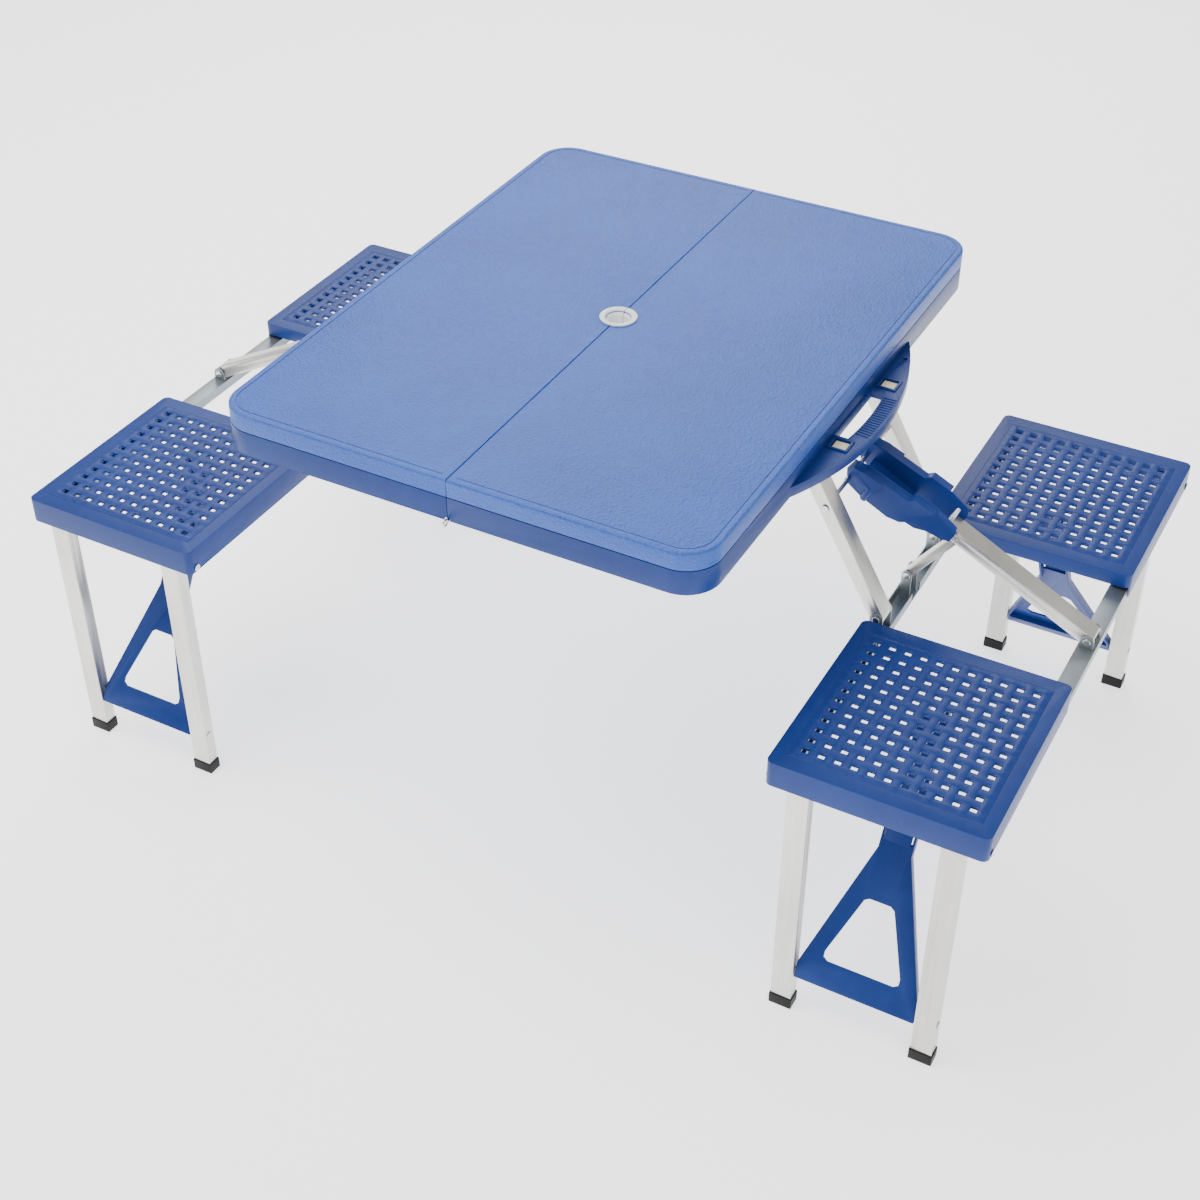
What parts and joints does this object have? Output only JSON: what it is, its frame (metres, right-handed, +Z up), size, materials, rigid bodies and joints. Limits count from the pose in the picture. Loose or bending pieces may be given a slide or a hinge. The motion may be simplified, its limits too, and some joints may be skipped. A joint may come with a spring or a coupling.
{
  "type": "folding picnic table with benches",
  "caption": "Suitcase-style folding picnic table: a split blue plastic top that closes into a case, hinged aluminium legs, and benches of pierced seats on folding braced legs.",
  "frame": {"origin": "on the floor under the middle of the tabletop", "axes": "+X across the seam towards one bench, +Y along the seam, +Z up"},
  "size_m": [1.394, 0.8764, 0.6742],
  "materials": {
    "grained_blue_plastic": "fine pebble grain, satin",
    "blue_plastic": "satin moulded",
    "white_plastic": "satin moulded",
    "ivory_plastic": "satin moulded",
    "aluminium_profile": "satin extruded",
    "zinc_plated_steel": "zinc plated, dull",
    "bright_steel": "bright plated",
    "black_rubber": "moulded, matt"
  },
  "bodies": {
    "left_half": {"tabletop_panel_left": "grained_blue_plastic", "case_rim_left": "blue_plastic", "parasol_collar_left": "white_plastic", "seam_hinge_pins": "bright_steel", "case_latches_left": "ivory_plastic", "leg_top_pins_left": "bright_steel"},
    "right_half": {"tabletop_panel_right": "grained_blue_plastic", "case_rim_right": "blue_plastic", "parasol_collar_right": "white_plastic", "case_latches_right": "ivory_plastic", "leg_top_pins_right": "bright_steel"},
    "table_legs_body_right": {"table_legs_right": "aluminium_profile", "leg_cross_rod_right": "bright_steel"},
    "bench_frame_right": {"inner_rail_right": "zinc_plated_steel", "outer_rail_right": "zinc_plated_steel", "rail_brackets_right": "zinc_plated_steel", "bracket_rivets_right": "bright_steel", "seat_cross_rods_right": "bright_steel", "seat_front_right": "blue_plastic", "seat_back_right": "blue_plastic"},
    "strut_body_right": {"diagonal_strut_right": "aluminium_profile", "strut_end_cap_right": "white_plastic", "knee_pins_right": "bright_steel"},
    "housing_body_right": {"strut_housing_right": "blue_plastic"},
    "stay_body_right": {"knee_stay_right": "aluminium_profile"},
    "seat_leg_pair_front_right": {"seat_legs_front_right": "aluminium_profile", "feet_front_right": "black_rubber", "brace_pins_front_right": "bright_steel"},
    "brace_plate_body_front_right": {"brace_plate_front_right": "blue_plastic"},
    "brace_link_body_front_right": {"brace_link_front_right": "blue_plastic"},
    "seat_leg_pair_back_right": {"seat_legs_back_right": "aluminium_profile", "feet_back_right": "black_rubber", "brace_pins_back_right": "bright_steel"},
    "brace_plate_body_back_right": {"brace_plate_back_right": "blue_plastic"},
    "brace_link_body_back_right": {"brace_link_back_right": "blue_plastic"},
    "table_legs_body_left": {"table_legs_left": "aluminium_profile", "leg_cross_rod_left": "bright_steel"},
    "bench_frame_left": {"inner_rail_left": "zinc_plated_steel", "outer_rail_left": "zinc_plated_steel", "rail_brackets_left": "zinc_plated_steel", "bracket_rivets_left": "bright_steel", "seat_cross_rods_left": "bright_steel", "seat_front_left": "blue_plastic", "seat_back_left": "blue_plastic"},
    "strut_body_left": {"diagonal_strut_left": "aluminium_profile", "strut_end_cap_left": "white_plastic", "knee_pins_left": "bright_steel"},
    "housing_body_left": {"strut_housing_left": "blue_plastic"},
    "stay_body_left": {"knee_stay_left": "aluminium_profile"},
    "seat_leg_pair_front_left": {"seat_legs_front_left": "aluminium_profile", "feet_front_left": "black_rubber", "brace_pins_front_left": "bright_steel"},
    "brace_plate_body_front_left": {"brace_plate_front_left": "blue_plastic"},
    "brace_link_body_front_left": {"brace_link_front_left": "blue_plastic"},
    "seat_leg_pair_back_left": {"seat_legs_back_left": "aluminium_profile", "feet_back_left": "black_rubber", "brace_pins_back_left": "bright_steel"},
    "brace_plate_body_back_left": {"brace_plate_back_left": "blue_plastic"},
    "brace_link_body_back_left": {"brace_link_back_left": "blue_plastic"}
  },
  "joints": [
    {"name": "case_hinge", "type": "hinge", "parent": "left_half", "child": "right_half", "pos_m": [0, 0, 0.614], "axis": [0, 1, 0], "range_deg": [0, 65]},
    {"name": "table_leg_fold_right", "type": "hinge", "parent": "right_half", "child": "table_legs_body_right", "pos_m": [0.299, 0, 0.651], "axis": [0, 1, 0], "range_deg": [0, 120.43]},
    {"name": "bench_swing_right", "type": "hinge", "parent": "table_legs_body_right", "child": "bench_frame_right", "pos_m": [0.43475, 0, 0.412], "axis": [0, -1, 0], "range_deg": [0, 120.45]},
    {"name": "housing_swing_right", "type": "hinge", "parent": "table_legs_body_right", "child": "housing_body_right", "pos_m": [0.35289, 0, 0.55612], "axis": [0, 1, 0], "range_deg": [0, 32.13]},
    {"name": "strut_fold_right", "type": "hinge", "parent": "bench_frame_right", "child": "strut_body_right", "pos_m": [0.68025, 0, 0.3974], "axis": [0, -1, 0], "range_deg": [0, 27.48]},
    {"name": "stay_fold_right", "type": "hinge", "parent": "strut_body_right", "child": "stay_body_right", "pos_m": [0.49602, 0, 0.49314], "axis": [0, -1, 0], "range_deg": [0, 99.62]},
    {"name": "seat_leg_fold_front_right", "type": "hinge", "parent": "bench_frame_right", "child": "seat_leg_pair_front_right", "pos_m": [0, -0.41, 0.382], "axis": [1, 0, 0], "range_deg": [0, 90]},
    {"name": "brace_plate_swing_front_right", "type": "hinge", "parent": "seat_leg_pair_front_right", "child": "brace_plate_body_front_right", "pos_m": [0, -0.41, 0.068], "axis": [1, 0, 0], "range_deg": [0, 28.07]},
    {"name": "brace_link_swing_front_right", "type": "hinge", "parent": "bench_frame_right", "child": "brace_link_body_front_right", "pos_m": [0, -0.22, 0.396], "axis": [-1, 0, 0], "range_deg": [0, 57.65]},
    {"name": "seat_leg_fold_back_right", "type": "hinge", "parent": "bench_frame_right", "child": "seat_leg_pair_back_right", "pos_m": [0, 0.41, 0.382], "axis": [-1, 0, 0], "range_deg": [0, 90]},
    {"name": "brace_plate_swing_back_right", "type": "hinge", "parent": "seat_leg_pair_back_right", "child": "brace_plate_body_back_right", "pos_m": [0, 0.41, 0.068], "axis": [-1, 0, 0], "range_deg": [0, 28.07]},
    {"name": "brace_link_swing_back_right", "type": "hinge", "parent": "bench_frame_right", "child": "brace_link_body_back_right", "pos_m": [0, 0.22, 0.396], "axis": [1, 0, 0], "range_deg": [0, 57.65]},
    {"name": "table_leg_fold_left", "type": "hinge", "parent": "left_half", "child": "table_legs_body_left", "pos_m": [-0.299, 0, 0.651], "axis": [0, -1, 0], "range_deg": [0, 120.43]},
    {"name": "bench_swing_left", "type": "hinge", "parent": "table_legs_body_left", "child": "bench_frame_left", "pos_m": [-0.43475, 0, 0.412], "axis": [0, 1, 0], "range_deg": [0, 120.45]},
    {"name": "housing_swing_left", "type": "hinge", "parent": "table_legs_body_left", "child": "housing_body_left", "pos_m": [-0.35289, 0, 0.55612], "axis": [0, -1, 0], "range_deg": [0, 32.13]},
    {"name": "strut_fold_left", "type": "hinge", "parent": "bench_frame_left", "child": "strut_body_left", "pos_m": [-0.68025, 0, 0.3974], "axis": [0, 1, 0], "range_deg": [0, 27.48]},
    {"name": "stay_fold_left", "type": "hinge", "parent": "strut_body_left", "child": "stay_body_left", "pos_m": [-0.49602, 0, 0.49314], "axis": [0, 1, 0], "range_deg": [0, 99.62]},
    {"name": "seat_leg_fold_front_left", "type": "hinge", "parent": "bench_frame_left", "child": "seat_leg_pair_front_left", "pos_m": [0, -0.41, 0.382], "axis": [1, 0, 0], "range_deg": [0, 90]},
    {"name": "brace_plate_swing_front_left", "type": "hinge", "parent": "seat_leg_pair_front_left", "child": "brace_plate_body_front_left", "pos_m": [0, -0.41, 0.068], "axis": [1, 0, 0], "range_deg": [0, 28.07]},
    {"name": "brace_link_swing_front_left", "type": "hinge", "parent": "bench_frame_left", "child": "brace_link_body_front_left", "pos_m": [0, -0.22, 0.396], "axis": [-1, 0, 0], "range_deg": [0, 57.65]},
    {"name": "seat_leg_fold_back_left", "type": "hinge", "parent": "bench_frame_left", "child": "seat_leg_pair_back_left", "pos_m": [0, 0.41, 0.382], "axis": [-1, 0, 0], "range_deg": [0, 90]},
    {"name": "brace_plate_swing_back_left", "type": "hinge", "parent": "seat_leg_pair_back_left", "child": "brace_plate_body_back_left", "pos_m": [0, 0.41, 0.068], "axis": [-1, 0, 0], "range_deg": [0, 28.07]},
    {"name": "brace_link_swing_back_left", "type": "hinge", "parent": "bench_frame_left", "child": "brace_link_body_back_left", "pos_m": [0, 0.22, 0.396], "axis": [1, 0, 0], "range_deg": [0, 57.65]}
  ],
  "couplings": [
    {"joint": "bench_swing_right", "follows": "table_leg_fold_right", "ratio": 1},
    {"joint": "housing_swing_right", "follows": "table_leg_fold_right", "ratio": 0.26662},
    {"joint": "strut_fold_right", "follows": "table_leg_fold_right", "ratio": 0.22803},
    {"joint": "stay_fold_right", "follows": "table_leg_fold_right", "ratio": 0.827},
    {"joint": "brace_plate_swing_front_right", "follows": "seat_leg_fold_front_right", "ratio": 0.31168},
    {"joint": "brace_link_swing_front_right", "follows": "seat_leg_fold_front_right", "ratio": 0.64036},
    {"joint": "brace_plate_swing_back_right", "follows": "seat_leg_fold_back_right", "ratio": 0.31168},
    {"joint": "brace_link_swing_back_right", "follows": "seat_leg_fold_back_right", "ratio": 0.64036},
    {"joint": "bench_swing_left", "follows": "table_leg_fold_left", "ratio": 1},
    {"joint": "housing_swing_left", "follows": "table_leg_fold_left", "ratio": 0.26662},
    {"joint": "strut_fold_left", "follows": "table_leg_fold_left", "ratio": 0.22803},
    {"joint": "stay_fold_left", "follows": "table_leg_fold_left", "ratio": 0.827},
    {"joint": "brace_plate_swing_front_left", "follows": "seat_leg_fold_front_left", "ratio": 0.31168},
    {"joint": "brace_link_swing_front_left", "follows": "seat_leg_fold_front_left", "ratio": 0.64036},
    {"joint": "brace_plate_swing_back_left", "follows": "seat_leg_fold_back_left", "ratio": 0.31168},
    {"joint": "brace_link_swing_back_left", "follows": "seat_leg_fold_back_left", "ratio": 0.64036}
  ]
}
